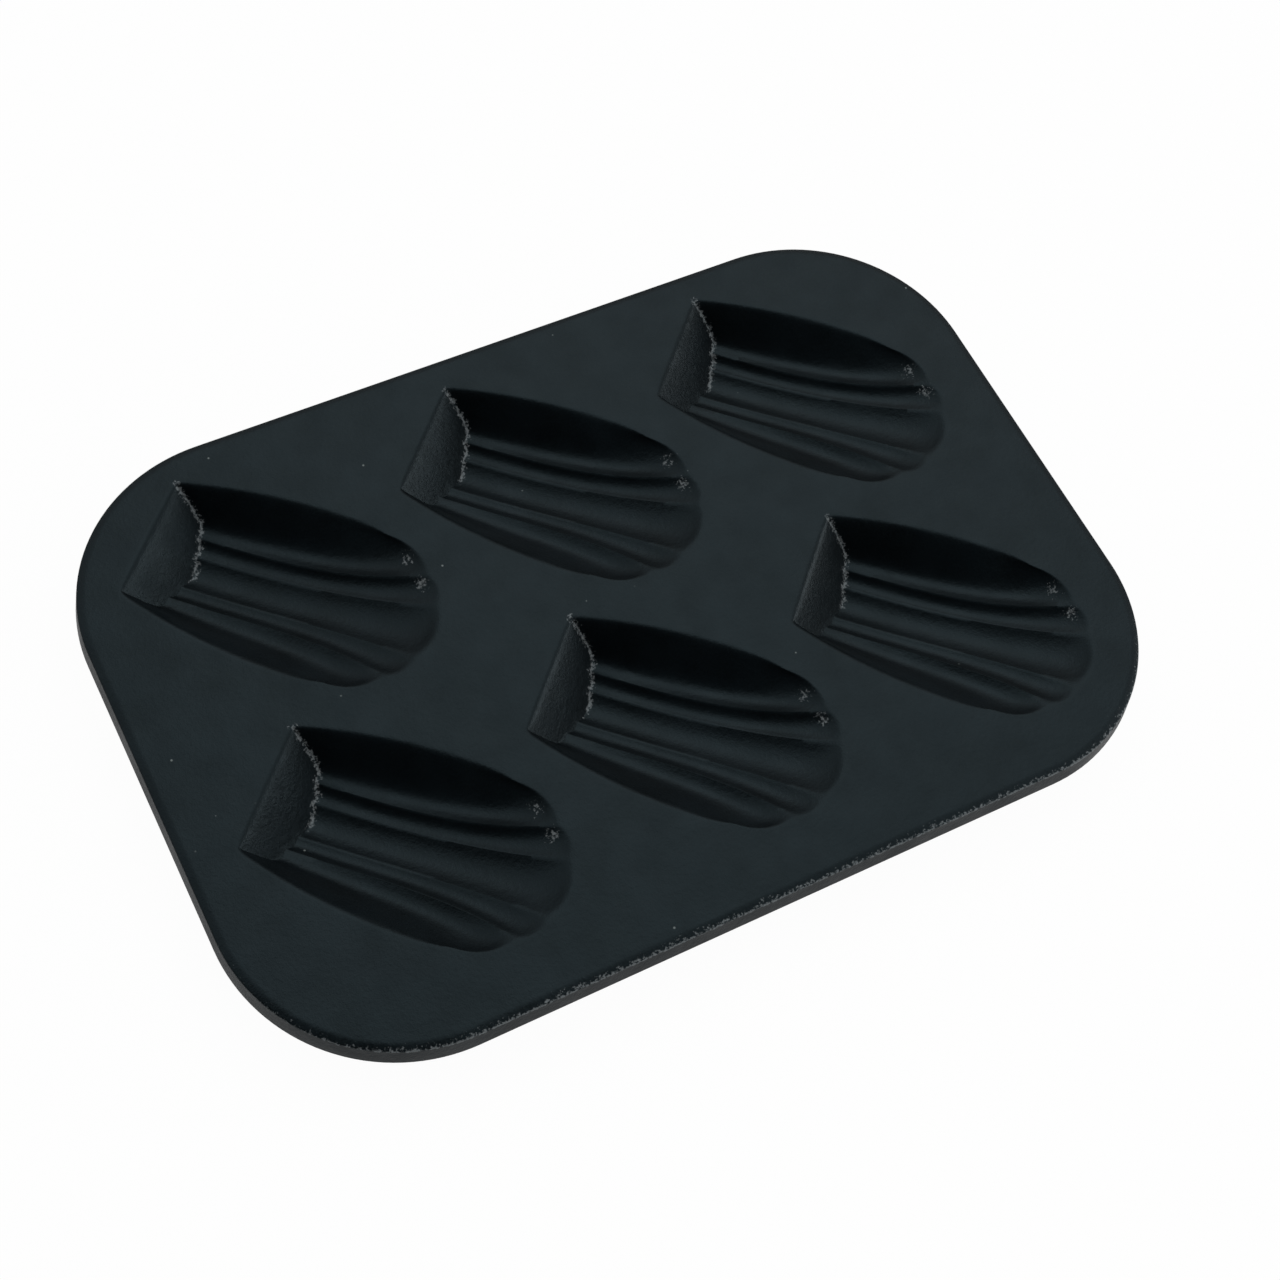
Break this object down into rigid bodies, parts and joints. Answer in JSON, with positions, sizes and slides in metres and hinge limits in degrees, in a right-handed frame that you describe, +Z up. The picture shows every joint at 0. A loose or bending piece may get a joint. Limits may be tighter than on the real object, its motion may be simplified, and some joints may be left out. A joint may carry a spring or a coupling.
{
  "type": "madeleine pan",
  "caption": "Cast shell cake pan: a flat plate with rounded corners and a turned down edge, with fluted shell cups set at a slant in a square grid.",
  "frame": {"origin": "middle of the pan's outline, on the surface that it stands on", "axes": "+X along the long side, +Y to the back, +Z up out of the cups"},
  "size_m": [0.2582, 0.178, 0.0165],
  "materials": {
    "seasoned_iron": "cast, with a fine satin black seasoning"
  },
  "bodies": {
    "root": {"plate": "seasoned_iron", "turned_edge": "seasoned_iron", "cup_1": "seasoned_iron", "cup_2": "seasoned_iron", "cup_3": "seasoned_iron", "cup_4": "seasoned_iron", "cup_5": "seasoned_iron", "cup_6": "seasoned_iron"}
  },
  "joints": []
}
